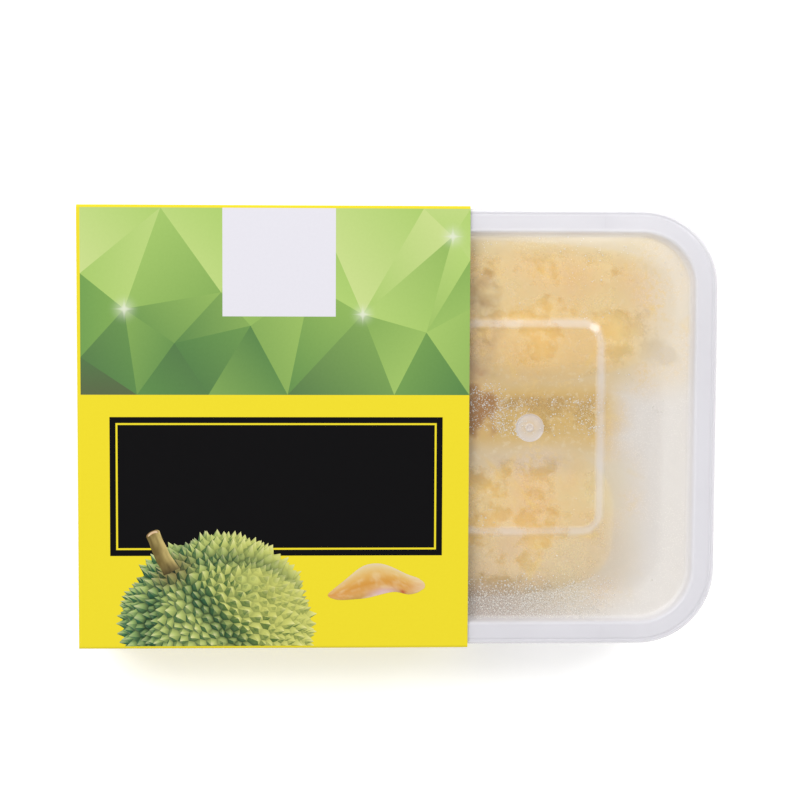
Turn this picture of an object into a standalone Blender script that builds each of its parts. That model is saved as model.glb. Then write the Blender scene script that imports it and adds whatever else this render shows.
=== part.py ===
"""A sleeved tub of durian flesh.

A shallow moulded tub with a press-on lid holds three lobes of durian flesh. A card sleeve, open at
both ends, lies flat on the ground plane and slides along X over the tub, like a matchbox on its
drawer. It stands drawn off to the left, with the right-hand part of the tub in the open.

Metres, +Z up. The origin is the middle of the whole pack's box, on the ground.
"""

from math import cos, pi, sin

import bmesh
import bpy
from mathutils import Vector

MM = 0.001

# Card sleeve
SLEEVE_LENGTH = 155.4 * MM      # along X, the way it slides
SLEEVE_WIDTH = 177.0 * MM       # along Y, outside
BOARD = 0.45 * MM               # thickness of the card
CREASE_RADIUS = 1.1 * MM        # outside radius of the four folds
CREASE_STEPS = 4
GLUE_FLAP_HEIGHT = 15.0 * MM    # the sheet's end, glued inside one side wall
FLAP_CLEARANCE = 1.2 * MM       # from the fold to the flap's lower edge
DRAWN_OFF = 102.4 * MM          # how far the sleeve stands from its closed place

# Lid and tub, which share one rounded outline
LID_SIZE_X = 150.0 * MM
LID_SIZE_Y = 175.0 * MM
CORNER_RADIUS = 31.0 * MM
CORNER_STEPS = 10
SMALLEST_RADIUS = 6.0 * MM
PACK_HEIGHT = 52.0 * MM         # underside of the tub to the top of the lid
WALL = 0.8 * MM
GAP = 0.3 * MM                  # between pieces that touch

# Tub
RIM_TOP = PACK_HEIGHT - 0.9 * MM - GAP
RIM_LIP_DEPTH = 3.8 * MM        # the rim's turned-down edge
RIM_INNER_INSET = 8.7 * MM      # from the lid's edge to the tub's inside at the rim
BASE_INSET = 13.0 * MM          # from the lid's edge to the foot's outer edge
FOOT_WIDTH = 3.0 * MM
BASE_RECESS = 0.8 * MM          # the floor stands this much above the foot

# Lid
SKIRT_DEPTH = 6.4 * MM
PANEL_TOP = PACK_HEIGHT - 4.6 * MM
PLATFORM_HALF_X = 30.0 * MM     # the raised rectangle in the middle of the lid
PLATFORM_HALF_Y = 43.4 * MM
PLATFORM_RISE = 1.2 * MM
PLATFORM_BEVEL = 2.8 * MM
PLATFORM_RADIUS = 9.0 * MM
GATE_RADIUS = 5.4 * MM          # the dished mark where the plastic was let into the mould
GATE_DEPTH = 0.3 * MM

# Where things stand
TUB_BASE_Z = BOARD + GAP
SLEEVE_HEIGHT = TUB_BASE_Z + PACK_HEIGHT + GAP + BOARD
TUB_X = (SLEEVE_LENGTH / 2 + DRAWN_OFF - LID_SIZE_X / 2) / 2
SLEEVE_X = TUB_X - DRAWN_OFF
FLOOR_TOP = BASE_RECESS + WALL  # the tub's inside floor, above its underside

# Lobes of flesh: middle in X and Y from the tub's middle, and length, width and height
LOBES = {
    "durian_lobe_upper": {
        "middle": (0.7 * MM, 46.6 * MM), "size": (124.0 * MM, 59.5 * MM, 42.5 * MM),
        "sag": 3.0 * MM, "narrow_end": 0.10, "colour": (0.84, 0.60, 0.28, 1.0)},
    "durian_lobe_lower": {
        "middle": (-12.0 * MM, -40.0 * MM), "size": (100.0 * MM, 68.0 * MM, 41.5 * MM),
        "sag": -3.0 * MM, "narrow_end": 0.08, "colour": (0.82, 0.60, 0.31, 1.0)},
    "durian_lobe_middle": {
        "middle": (8.5 * MM, 5.4 * MM), "size": (56.0 * MM, 18.8 * MM, 37.0 * MM),
        "sag": 0.0, "narrow_end": 0.08, "colour": (0.86, 0.66, 0.30, 1.0)},
}
LOBE_RINGS = 22
LOBE_SEGMENTS = 28
LOBE_FULLNESS = 3.0             # 2 gives an ellipsoid, more gives a plumper form


def clear_scene():
    for old_object in list(bpy.data.objects):
        bpy.data.objects.remove(old_object, do_unlink=True)


def make_material(name, colour, roughness, metallic=0.0):
    material = bpy.data.materials.new(name)
    material.use_nodes = True
    shader = material.node_tree.nodes["Principled BSDF"]
    shader.inputs["Base Color"].default_value = colour
    shader.inputs["Roughness"].default_value = roughness
    shader.inputs["Metallic"].default_value = metallic
    return material


def rounded_outline(half_a, half_b, radius, steps):
    """Points (a, b) of a rounded rectangle, counter-clockwise, with a full arc at each corner."""
    points = []
    for corner, (sign_a, sign_b) in enumerate(((1, 1), (-1, 1), (-1, -1), (1, -1))):
        for step in range(steps + 1):
            angle = (corner + step / steps) * pi / 2
            points.append((sign_a * (half_a - radius) + radius * cos(angle),
                           sign_b * (half_b - radius) + radius * sin(angle)))
    return points


def round_outline(radius, count):
    """Points (a, b) of a circle that match a rounded rectangle of count points, one to one."""
    turns = [(k + 0.5) / count for k in range(count)]
    return [(radius * cos(2 * pi * turn), radius * sin(2 * pi * turn)) for turn in turns]


def finish_mesh(name, form, material, parent):
    """Turns a closed bmesh into a named object under its parent."""
    bmesh.ops.recalc_face_normals(form, faces=form.faces)
    mesh = bpy.data.meshes.new(name)
    form.to_mesh(mesh)
    form.free()
    mesh.shade_smooth()
    mesh.set_sharp_from_angle(angle=pi / 6)
    mesh.materials.append(material)
    piece = bpy.data.objects.new(name, mesh)
    bpy.context.scene.collection.objects.link(piece)
    piece.parent = parent
    return piece


def skin_rings(form, rings):
    """Joins neighbouring rings of equal length with quads."""
    for low, high in zip(rings, rings[1:]):
        for i in range(len(low)):
            j = (i + 1) % len(low)
            form.faces.new((low[i], low[j], high[j], high[i]))


def moulded_body(name, outlines, material, parent):
    """A moulding whose skin runs through rings from its underside's middle to its inside's middle."""
    form = bmesh.new()
    rings = [[form.verts.new((x, y, z)) for x, y in outline] for outline, z in outlines]
    skin_rings(form, rings)
    form.faces.new(rings[0])
    form.faces.new(rings[-1])
    return finish_mesh(name, form, material, parent)


def inset_outline(inset):
    """The lid's outline, drawn in by inset on every side."""
    return rounded_outline(LID_SIZE_X / 2 - inset, LID_SIZE_Y / 2 - inset,
                           max(CORNER_RADIUS - inset, SMALLEST_RADIUS), CORNER_STEPS)


def platform_outline(grow):
    """The outline of the lid's raised rectangle, grown by grow on every side."""
    return rounded_outline(PLATFORM_HALF_X + grow, PLATFORM_HALF_Y + grow,
                           PLATFORM_RADIUS + grow, CORNER_STEPS)


def make_tub(material, parent):
    foot_inner = BASE_INSET + 1.5 * MM + FOOT_WIDTH
    wall_inset = RIM_INNER_INSET - WALL
    lip_inset = 1.15 * MM
    outside = (
        (foot_inner + BASE_RECESS, BASE_RECESS),
        (foot_inner, 0.0),
        (BASE_INSET + 1.5 * MM, 0.0),
        (BASE_INSET, 0.9 * MM),
        (BASE_INSET - WALL, 3.0 * MM),
        (wall_inset, RIM_TOP - 1.0 * MM),
    )
    rim = (
        (lip_inset + WALL, RIM_TOP - 1.0 * MM),
        (lip_inset + WALL, RIM_TOP - RIM_LIP_DEPTH),
        (lip_inset, RIM_TOP - RIM_LIP_DEPTH),
        (lip_inset, RIM_TOP - 0.5 * MM),
        (lip_inset + 0.5 * MM, RIM_TOP),
        (RIM_INNER_INSET - 0.6 * MM, RIM_TOP),
        (RIM_INNER_INSET, RIM_TOP - 0.6 * MM),
    )
    inside = (
        (BASE_INSET + 0.1 * MM, 3.4 * MM),
        (BASE_INSET + 0.9 * MM, 1.6 * MM),
        (BASE_INSET + 2.2 * MM, WALL),
        (foot_inner, WALL),
        (foot_inner + BASE_RECESS, FLOOR_TOP),
    )
    outlines = [(inset_outline(inset), z) for inset, z in outside + rim + inside]
    return moulded_body("tub", outlines, material, parent)


def make_lid(material, parent):
    panel_under = PANEL_TOP - WALL
    platform_top = PANEL_TOP + PLATFORM_RISE
    skirt_inner = 0.85 * MM
    plug_top = RIM_INNER_INSET + 0.4 * MM
    plug_foot = RIM_INNER_INSET + 0.8 * MM
    outlines = [
        (platform_outline(-PLATFORM_BEVEL), platform_top - WALL),
        (platform_outline(0.0), panel_under),
    ]
    edge = (
        (plug_foot + 0.6 * MM, panel_under),
        (plug_foot, panel_under + 0.6 * MM),
        (plug_top, RIM_TOP + GAP),
        (skirt_inner, RIM_TOP + GAP),
        (skirt_inner, PACK_HEIGHT - SKIRT_DEPTH),
        (0.0, PACK_HEIGHT - SKIRT_DEPTH),
        (0.1 * MM, PACK_HEIGHT - 1.4 * MM),
        (0.5 * MM, PACK_HEIGHT - 0.4 * MM),
        (1.2 * MM, PACK_HEIGHT),
        (plug_top + 0.2 * MM, PACK_HEIGHT),
        (plug_top + WALL, PACK_HEIGHT - 0.6 * MM),
        (plug_foot + WALL, PANEL_TOP + 0.6 * MM),
        (plug_foot + WALL + 0.6 * MM, PANEL_TOP),
    )
    outlines += [(inset_outline(inset), z) for inset, z in edge]
    gate = round_outline(GATE_RADIUS, 4 * (CORNER_STEPS + 1))
    dish = round_outline(GATE_RADIUS - GATE_DEPTH, 4 * (CORNER_STEPS + 1))
    outlines += [
        (platform_outline(0.0), PANEL_TOP),
        (platform_outline(-PLATFORM_BEVEL), platform_top),
        (gate, platform_top),
        (dish, platform_top - GATE_DEPTH),
    ]
    return moulded_body("lid", outlines, material, parent)


def sleeve_sections():
    """The sleeve's outer and inner outlines as (y, z), the inner one with the glue flap."""
    middle_z = SLEEVE_HEIGHT / 2
    outer = [(y, z + middle_z) for y, z in rounded_outline(
        SLEEVE_WIDTH / 2, SLEEVE_HEIGHT / 2, CREASE_RADIUS, CREASE_STEPS)]
    plain = [(y, z + middle_z) for y, z in rounded_outline(
        SLEEVE_WIDTH / 2 - BOARD, SLEEVE_HEIGHT / 2 - BOARD, CREASE_RADIUS - BOARD, CREASE_STEPS)]
    wall_y = -(SLEEVE_WIDTH / 2 - BOARD)
    flap_low = BOARD + FLAP_CLEARANCE
    flap_high = flap_low + GLUE_FLAP_HEIGHT
    flap = [(wall_y, flap_high), (wall_y + BOARD, flap_high),
            (wall_y + BOARD, flap_low), (wall_y, flap_low)]
    arcs_above = 2 * (CREASE_STEPS + 1)
    inner = plain[:arcs_above] + flap + plain[arcs_above:]
    return outer, inner


def make_sleeve(material, parent):
    form = bmesh.new()
    half = SLEEVE_LENGTH / 2
    ends = {}
    for part, section in zip(("outer", "inner"), sleeve_sections()):
        rings = [[form.verts.new((x, y, z)) for y, z in section] for x in (-half, half)]
        skin_rings(form, rings)
        ends[part] = rings
    for i in range(2):
        edges = []
        for rings in ends.values():
            ring = rings[i]
            edges += [form.edges.get((ring[k], ring[k - 1])) for k in range(len(ring))]
        bmesh.ops.triangle_fill(form, use_beauty=True, use_dissolve=False, edges=edges)
    return finish_mesh("card_sleeve", form, material, parent)


def signed_power(value, power):
    return (abs(value) ** power) * (1 if value >= 0 else -1)


def make_lobe(name, shape, material, parent):
    """A plump closed lobe along X: full in the middle, drawn to a blunt tip at each end."""
    half_length, half_width, half_height = (s / 2 for s in shape["size"])
    middle_x, middle_y = shape["middle"]
    middle_z = FLOOR_TOP + GAP + half_height
    roundness = 2 / LOBE_FULLNESS
    stations = [-cos(pi * ring / LOBE_RINGS) for ring in range(1, LOBE_RINGS)]
    girths = [(1 - abs(station) ** LOBE_FULLNESS) ** (1 / LOBE_FULLNESS)
              * (1 - shape["narrow_end"] * station) for station in stations]
    form = bmesh.new()
    rings = []
    for station, girth in zip(stations, girths):
        girth /= max(girths)
        sideways = shape["sag"] * (station ** 2 - 0.5)
        points = []
        for segment in range(LOBE_SEGMENTS):
            angle = 2 * pi * segment / LOBE_SEGMENTS
            across = signed_power(cos(angle), roundness)
            upward = signed_power(sin(angle), roundness)
            points.append(form.verts.new((middle_x + half_length * station,
                                          middle_y + sideways + half_width * girth * across,
                                          middle_z + half_height * girth * upward)))
        rings.append(points)
    skin_rings(form, rings)
    for end, ring in ((-1, rings[0]), (1, rings[-1])):
        tip = form.verts.new((middle_x + end * half_length, middle_y + shape["sag"] * 0.5, middle_z))
        for i in range(LOBE_SEGMENTS):
            form.faces.new((ring[i], ring[(i + 1) % LOBE_SEGMENTS], tip))
    return finish_mesh(name, form, material, parent)


def make_holder(name, location):
    """An empty that carries the pieces which move together."""
    holder = bpy.data.objects.new(name, None)
    holder.location = Vector(location)
    bpy.context.scene.collection.objects.link(holder)
    return holder


def main():
    clear_scene()
    filled_tub = make_holder("filled_tub", (TUB_X, 0.0, TUB_BASE_Z))
    sleeve_slide = make_holder("sleeve_slide", (SLEEVE_X, 0.0, 0.0))
    printed_card = make_material("printed_card", (0.82, 0.74, 0.04, 1.0), 0.35)
    milky_plastic = make_material("milky_plastic", (0.80, 0.80, 0.84, 1.0), 0.30)
    make_sleeve(printed_card, sleeve_slide)
    make_tub(milky_plastic, filled_tub)
    make_lid(milky_plastic, filled_tub)
    for name, shape in LOBES.items():
        flesh = make_material(name + "_flesh", shape["colour"], 0.45)
        make_lobe(name, shape, flesh, filled_tub)
    bpy.context.view_layer.update()


main()
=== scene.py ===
"""Looks of a tub of durian flesh in a printed card sleeve, laid out as a Blender add-on.

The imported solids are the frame: every size and place here is read from them. Each operator makes
one piece or one group of like pieces, and the stage. Metres, +Z up; the lid faces up.
"""

from math import atan2, cos, pi, radians, sin, sqrt
from random import Random

import bmesh
import bpy
from bpy.props import FloatProperty, FloatVectorProperty, IntProperty, PointerProperty
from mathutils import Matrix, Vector, noise
from mathutils.geometry import delaunay_2d_cdt


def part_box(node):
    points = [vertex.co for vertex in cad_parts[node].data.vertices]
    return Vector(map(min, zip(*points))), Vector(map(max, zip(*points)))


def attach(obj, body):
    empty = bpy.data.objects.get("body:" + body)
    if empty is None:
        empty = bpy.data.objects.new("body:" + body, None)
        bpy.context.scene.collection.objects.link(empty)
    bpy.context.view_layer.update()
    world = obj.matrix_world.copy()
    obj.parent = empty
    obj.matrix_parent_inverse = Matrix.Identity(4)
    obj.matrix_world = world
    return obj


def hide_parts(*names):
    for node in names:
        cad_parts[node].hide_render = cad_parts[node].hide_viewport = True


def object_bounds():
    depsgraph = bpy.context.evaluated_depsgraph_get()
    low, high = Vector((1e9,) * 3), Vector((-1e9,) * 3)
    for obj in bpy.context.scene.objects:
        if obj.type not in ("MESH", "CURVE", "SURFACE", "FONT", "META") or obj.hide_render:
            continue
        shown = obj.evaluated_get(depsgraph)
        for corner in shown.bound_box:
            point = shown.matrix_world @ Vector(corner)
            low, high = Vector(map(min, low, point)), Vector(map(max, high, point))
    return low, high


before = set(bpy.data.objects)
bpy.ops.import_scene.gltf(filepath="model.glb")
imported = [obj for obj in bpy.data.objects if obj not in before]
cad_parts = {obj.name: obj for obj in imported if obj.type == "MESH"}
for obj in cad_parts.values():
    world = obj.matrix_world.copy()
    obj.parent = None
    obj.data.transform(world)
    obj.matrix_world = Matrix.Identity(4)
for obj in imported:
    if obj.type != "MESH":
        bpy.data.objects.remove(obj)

bl_info = {
    "name": "Sleeved durian tub",
    "version": (1, 0, 0),
    "blender": (4, 5, 0),
    "location": "3D View > Sidebar > Durian tub",
    "description": "Builds a tub of durian flesh with its lid, dew, frost and printed card sleeve",
    "category": "Add Mesh",
}

CAD_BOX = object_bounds()
MM = 0.001

LID_LOW, LID_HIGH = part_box("lid")
TUB_LOW, TUB_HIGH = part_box("tub")
SLEEVE_LOW, SLEEVE_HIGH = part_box("card_sleeve")
LID_HALF = (LID_HIGH - LID_LOW) / 2
TUB_MIDDLE = Vector(((LID_LOW.x + LID_HIGH.x) / 2, (LID_LOW.y + LID_HIGH.y) / 2, TUB_LOW.z))
LOBE_TOP_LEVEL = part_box("durian_lobe_upper")[1].z
LOBES = ("durian_lobe_upper", "durian_lobe_lower", "durian_lobe_middle")


# ---- Colour and outline helpers ----

PAPER_WHITE = 0.79              # the albedo that shows as full white under the stage's light


def swatch(red, green, blue):
    """Linear colour of a printer's swatch given as 0 to 255, white being white paper."""
    def linear(level):
        level /= 255
        light = level / 12.92 if level <= 0.04045 else ((level + 0.055) / 1.055) ** 2.4
        return light * PAPER_WHITE
    return (linear(red), linear(green), linear(blue))


def blended(low, high, share):
    share = min(max(share, 0.0), 1.0)
    return tuple(a + (b - a) * share for a, b in zip(low, high))


def ramped(stops, place):
    """The colour at place on a list of (place, colour) stops."""
    for (low, low_colour), (high, high_colour) in zip(stops, stops[1:]):
        if place <= high:
            return blended(low_colour, high_colour, (place - low) / (high - low))
    return stops[-1][1]


def rounded_outline(half_a, half_b, radius, steps):
    """Points (a, b) of a rounded rectangle, counter-clockwise, with a full arc at each corner."""
    points = []
    for corner, (sign_a, sign_b) in enumerate(((1, 1), (-1, 1), (-1, -1), (1, -1))):
        for step in range(steps + 1):
            angle = (corner + step / steps) * pi / 2
            points.append((sign_a * (half_a - radius) + radius * cos(angle),
                           sign_b * (half_b - radius) + radius * sin(angle)))
    return points


def round_outline(radius, count):
    """Points (a, b) of a circle that match a rounded rectangle of count points, one to one."""
    turns = [(k + 0.5) / count for k in range(count)]
    return [(radius * cos(2 * pi * turn), radius * sin(2 * pi * turn)) for turn in turns]


def softened(profile, radius, steps=4):
    """A profile of (inset, height) corners with each inner corner rounded off."""
    points = [profile[0]]
    for before, corner, after in zip(profile, profile[1:], profile[2:]):
        before, corner, after = Vector(before), Vector(corner), Vector(after)
        cut_in = min(radius, (corner - before).length * 0.45)
        cut_out = min(radius, (after - corner).length * 0.45)
        start = corner + (before - corner).normalized() * cut_in
        end = corner + (after - corner).normalized() * cut_out
        for step in range(steps + 1):
            t = step / steps
            points.append(tuple(start * (1 - t) ** 2 + corner * 2 * t * (1 - t) + end * t ** 2))
    points.append(profile[-1])
    return points


# ---- Node trees written as expressions ----

class Wire:
    """A node's output that can stand in an arithmetic expression."""

    def __init__(self, tree, socket):
        self.tree = tree
        self.socket = socket

    def maths(self, operation, *values):
        return self.tree.node("ShaderNodeMath", {"operation": operation}, dict(enumerate(values)))

    def __add__(self, other):
        return self.maths("ADD", self, other)

    __radd__ = __add__

    def __sub__(self, other):
        return self.maths("SUBTRACT", self, other)

    def __rsub__(self, other):
        return self.maths("SUBTRACT", other, self)

    def __mul__(self, other):
        return self.maths("MULTIPLY", self, other)

    __rmul__ = __mul__

    def __truediv__(self, other):
        return self.maths("DIVIDE", self, other)

    def __pow__(self, other):
        return self.maths("POWER", self, other)

    def most(self, other):
        return self.maths("MAXIMUM", self, other)

    def least(self, other):
        return self.maths("MINIMUM", self, other)

    def over(self, other):
        return self.maths("GREATER_THAN", self, other)

    def below(self, other):
        return self.maths("LESS_THAN", self, other)

    def size(self):
        return self.maths("ABSOLUTE", self)

    def ease(self, low, high):
        """0 below low, 1 above high, eased between; the other way round where low is the higher."""
        if low > high:
            return 1 - self.ease(high, low)
        return self.tree.node("ShaderNodeMapRange", {"interpolation_type": "SMOOTHSTEP"},
                              {"Value": self, "From Min": low, "From Max": high})


class Tree:
    """Adds nodes to a shader tree or a geometry tree."""

    def __init__(self, nodes):
        self.nodes = nodes

    def node(self, kind, settings=None, sockets=None, output=0):
        made = self.nodes.nodes.new(kind)
        for name, value in (settings or {}).items():
            setattr(made, name, value)
        for name, value in (sockets or {}).items():
            if isinstance(value, Wire):
                self.nodes.links.new(value.socket, made.inputs[name])
            else:
                made.inputs[name].default_value = value
        return Wire(self, made.outputs[output])

    def part(self, vector, axis):
        """One of a vector's parts: X, Y or Z."""
        return self.node("ShaderNodeSeparateXYZ", None, {"Vector": vector}, axis)


class Finish(Tree):
    """A material of one Principled shader; constants go straight on its sockets."""

    def __init__(self, name, **constants):
        self.material = bpy.data.materials.new(name)
        self.material.use_nodes = True
        super().__init__(self.material.node_tree)
        self.shader = self.nodes.nodes["Principled BSDF"]
        for socket, value in constants.items():
            self.shader.inputs[socket.replace("_", " ")].default_value = value
        self.place = self.node("ShaderNodeTexCoord", output="Object")

    def feed(self, socket, wire):
        self.nodes.links.new(wire.socket, self.shader.inputs[socket])

    def axis(self, name):
        return self.part(self.place, name)

    def painted(self, name):
        """A grey attribute of the mesh, as a number from 0 to 1."""
        colour = self.node("ShaderNodeVertexColor", {"layer_name": name})
        return self.node("ShaderNodeSeparateColor", None, {"Color": colour})

    def grain(self, per_metre, detail=3.0, roughness=0.5, stretch=(1, 1, 1), warp=0.0,
              shift=(0, 0, 0)):
        """Noise from 0 to 1, with per_metre features to the metre."""
        vector = self.node("ShaderNodeMapping", None, {
            "Vector": self.place, "Scale": stretch, "Location": shift})
        return self.node("ShaderNodeTexNoise", None, {
            "Vector": vector, "Scale": per_metre, "Detail": detail, "Roughness": roughness,
            "Distortion": warp})

    def cells(self, per_metre, feature="F1"):
        """Distance to the nearest of scattered points, or to the edge between cells."""
        return self.node("ShaderNodeTexVoronoi", {"feature": feature},
                         {"Vector": self.place, "Scale": per_metre})

    def mix(self, share, low, high, blend="MIX"):
        """Low and high are colours or wires; share is a number or a wire."""
        low = (*low, 1.0) if isinstance(low, tuple) else low
        high = (*high, 1.0) if isinstance(high, tuple) else high
        return self.node("ShaderNodeMix", {"data_type": "RGBA", "blend_type": blend},
                         {0: share, 6: low, 7: high}, 2)

    def layered(self, colour, *layers):
        """Lays tints over a colour one after another, each given as (share, tint)."""
        for share, tint in layers:
            colour = self.mix(share, colour, tint)
        return colour

    def bump(self, height, distance, strength=1.0, under=None):
        sockets = {"Height": height, "Distance": distance, "Strength": strength}
        if under:
            sockets["Normal"] = under
        return self.node("ShaderNodeBump", None, sockets)


class Growth(Tree):
    """A geometry tree with named inputs, which ends in realised instances and a material."""

    def __init__(self, name):
        super().__init__(bpy.data.node_groups.new(name, "GeometryNodeTree"))
        interface = self.nodes.interface
        interface.new_socket("Geometry", in_out="INPUT", socket_type="NodeSocketGeometry")
        interface.new_socket("Geometry", in_out="OUTPUT", socket_type="NodeSocketGeometry")

    def input(self, name, kind="Float"):
        """A named input of the tree, as a wire."""
        self.nodes.interface.new_socket(name, in_out="INPUT", socket_type="NodeSocket" + kind)
        return self.node("NodeGroupInput", output=name)

    def host(self):
        return self.node("NodeGroupInput", output="Geometry")

    def draw(self, low, high, seed):
        """A random number between two numbers, or a random vector between two vectors."""
        if isinstance(low, tuple):
            return self.node("FunctionNodeRandomValue", {"data_type": "FLOAT_VECTOR"},
                             {0: low, 1: high, "Seed": seed})
        return self.node("FunctionNodeRandomValue", {"data_type": "FLOAT"},
                         {2: low, 3: high, "Seed": seed}, 1)

    def end(self, geometry, material):
        real = self.node("GeometryNodeRealizeInstances", None, {"Geometry": geometry})
        dressed = self.node("GeometryNodeSetMaterial", None,
                            {"Geometry": real, "Material": material})
        outlet = self.nodes.nodes.new("NodeGroupOutput")
        self.nodes.links.new(dressed.socket, outlet.inputs[0])

    def grown(self, host_mesh, **inputs):
        """The plain mesh that the tree makes of host_mesh; inputs are named with _ for spaces."""
        host = bpy.data.objects.new("growth_host", host_mesh)
        bpy.context.scene.collection.objects.link(host)
        modifier = host.modifiers.new("growth", "NODES")
        modifier.node_group = self.nodes
        labels = {item.name: item.identifier for item in self.nodes.interface.items_tree
                  if item.in_out == "INPUT"}
        for label, value in inputs.items():
            modifier[labels[label.replace("_", " ")]] = value
        evaluated = host.evaluated_get(bpy.context.evaluated_depsgraph_get())
        mesh = bpy.data.meshes.new_from_object(evaluated)
        host.modifiers.remove(modifier)
        bpy.data.objects.remove(host, do_unlink=True)
        return mesh


# ---- Mesh helpers ----

def skin_rings(form, rings, capped=False):
    """Joins neighbouring rings of equal length with quads, and may close both ends."""
    for low, high in zip(rings, rings[1:]):
        for i in range(len(low)):
            j = (i + 1) % len(low)
            form.faces.new((low[i], low[j], high[j], high[i]))
    if capped:
        form.faces.new(rings[0])
        form.faces.new(rings[-1])


def inked(form, colour_of):
    """Gives each face corner of a form the ink that colour_of says for it."""
    ink = form.loops.layers.float_color.new("ink")
    for face in form.faces:
        for loop in face.loops:
            loop[ink] = (*colour_of(loop), 1.0)


def finished(name, form, material, body, sharp=pi / 5):
    """Turns a closed bmesh into a piece that rides on a body."""
    bmesh.ops.recalc_face_normals(form, faces=form.faces)
    mesh = bpy.data.meshes.new(name)
    form.to_mesh(mesh)
    form.free()
    return placed(name, mesh, material, body, sharp)


def placed(name, mesh, material, body, sharp=pi / 5):
    """Gives a mesh its material and its body, as a piece standing at the origin."""
    mesh.shade_smooth()
    mesh.set_sharp_from_angle(angle=sharp)
    mesh.materials.clear()
    mesh.materials.append(material)
    piece = bpy.data.objects.new(name, mesh)
    bpy.context.scene.collection.objects.link(piece)
    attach(piece, body)
    return piece


def moulding(name, outlines, material, body):
    """A moulded shell skinned through rings, from the underside's middle to the top's middle.

    Each ring is (outline, z, milkiness); milkiness goes into the attribute of that name.
    """
    form = bmesh.new()
    milk = form.verts.layers.float_color.new("milkiness")
    rings = []
    for outline, z, milkiness in outlines:
        ring = [form.verts.new((TUB_MIDDLE.x + a, TUB_MIDDLE.y + b, z)) for a, b in outline]
        for vert in ring:
            vert[milk] = (milkiness, milkiness, milkiness, 1.0)
        rings.append(ring)
    skin_rings(form, rings, capped=True)
    return finished(name, form, material, body)


# ---- Settings ----

class StageSettings(bpy.types.PropertyGroup):
    """Camera, floor and light."""
    eye: FloatVectorProperty(name="Camera place", description="Where the camera stands",
                             default=(-0.04132, 0.0880, 0.95136), subtype="TRANSLATION")
    turn: FloatVectorProperty(name="Camera turn", description="The camera's rotation",
                              default=(radians(-4.879), radians(-2.624), radians(0.274)),
                              subtype="EULER")
    lens: FloatProperty(name="Lens", description="Focal length on a 36 mm sensor, in millimetres",
                        default=102.0)
    floor_size: FloatProperty(name="Floor", description="Side of the pale floor", default=4.0,
                              unit="LENGTH")
    table: FloatProperty(name="Light table", description="Brightness of the floor itself",
                         default=0.26)
    sky: FloatProperty(name="Surround light", description="Brightness of the even surround",
                       default=0.70)
    key: FloatProperty(name="Key light", description="Power of the large soft lamp, in watts",
                       default=21.0)
    fill: FloatProperty(name="Fill light", description="Power of the lamp across from it, in watts",
                        default=8.2)


class PrintSettings(bpy.types.PropertyGroup):
    """Colours and layout of the card's print."""
    yellow: FloatVectorProperty(name="Ground", description="Ground colour of the card",
                                default=swatch(240, 221, 46), subtype="COLOR")
    black: FloatVectorProperty(name="Panel", description="Colour of the dark panel",
                               default=swatch(10, 9, 11), subtype="COLOR")
    white: FloatVectorProperty(name="Label", description="Colour of the bare label square",
                               default=swatch(230, 228, 236), subtype="COLOR")
    facet_seed: IntProperty(name="Facet seed", description="Seed of the faceted band", default=1139)
    thorns: IntProperty(name="Thorns", description="Thorns round the pictured fruit",
                        default=1180)
    thorn_length: FloatProperty(name="Thorn length", description="Share of the fruit's radius",
                                default=0.115)


class SleeveSettings(bpy.types.PropertyGroup):
    """The card itself."""
    board: FloatProperty(name="Board", description="Thickness of the card", default=0.45 * MM,
                         unit="LENGTH")
    film: FloatProperty(name="Ink film", description="Thickness of the ink and varnish",
                        default=0.05 * MM, unit="LENGTH")
    fold: FloatProperty(name="Fold", description="Outside radius of a fold", default=1.1 * MM,
                        unit="LENGTH")
    flap: FloatProperty(name="Glue flap", description="Height of the glued flap",
                        default=15.0 * MM, unit="LENGTH")


class PlasticSettings(bpy.types.PropertyGroup):
    """The milky plastic of the lid and the tub."""
    colour: FloatVectorProperty(name="Colour", description="Colour of the plastic",
                                default=(0.745, 0.733, 0.775), subtype="COLOR")
    clear: FloatProperty(name="Clear", description="How opaque one face of the lid's panel is",
                         default=0.07, subtype="FACTOR")
    milky: FloatProperty(name="Milky", description="How opaque one face of the thick edge is",
                         default=0.50, subtype="FACTOR")
    fog: FloatProperty(name="Fog", description="How opaque the damp under the lid is",
                       default=0.32, subtype="FACTOR")
    wall: FloatProperty(name="Wall", description="Thickness of the mouldings", default=0.8 * MM,
                        unit="LENGTH")
    corner: FloatProperty(name="Corner", description="Radius of the lid's outline",
                          default=31.0 * MM, unit="LENGTH")


class FleshSettings(bpy.types.PropertyGroup):
    """The lobes of durian flesh."""
    cream: FloatVectorProperty(name="Cream", description="Light creamy flesh",
                               default=(0.80, 0.64, 0.27), subtype="COLOR")
    amber: FloatVectorProperty(name="Amber", description="Ripe, deeper flesh",
                               default=(0.80, 0.52, 0.14), subtype="COLOR")
    lumps: FloatProperty(name="Lumps", description="Depth of the broad hollows",
                         default=1.3 * MM, unit="LENGTH")
    creases: FloatProperty(name="Creases", description="Depth of the creases",
                           default=0.7 * MM, unit="LENGTH")


class DewSettings(bpy.types.PropertyGroup):
    """Droplets on the lid and ice grains on the flesh."""
    drops: FloatProperty(name="Drops", description="Drops to the square metre",
                         default=1300000.0)
    drop_size: FloatProperty(name="Drop size", description="Radius of a large drop",
                             default=0.40 * MM, unit="LENGTH")
    grains: FloatProperty(name="Ice grains", description="Grains to the square metre",
                          default=300000.0)
    grain_size: FloatProperty(name="Grain size", description="Radius of a large grain",
                              default=0.40 * MM, unit="LENGTH")
    seed: IntProperty(name="Seed", description="Seed of the scatter", default=11)


# ---- Finishes ----

def flat_length(across, along):
    return (across * across + along * along) ** 0.5


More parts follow.
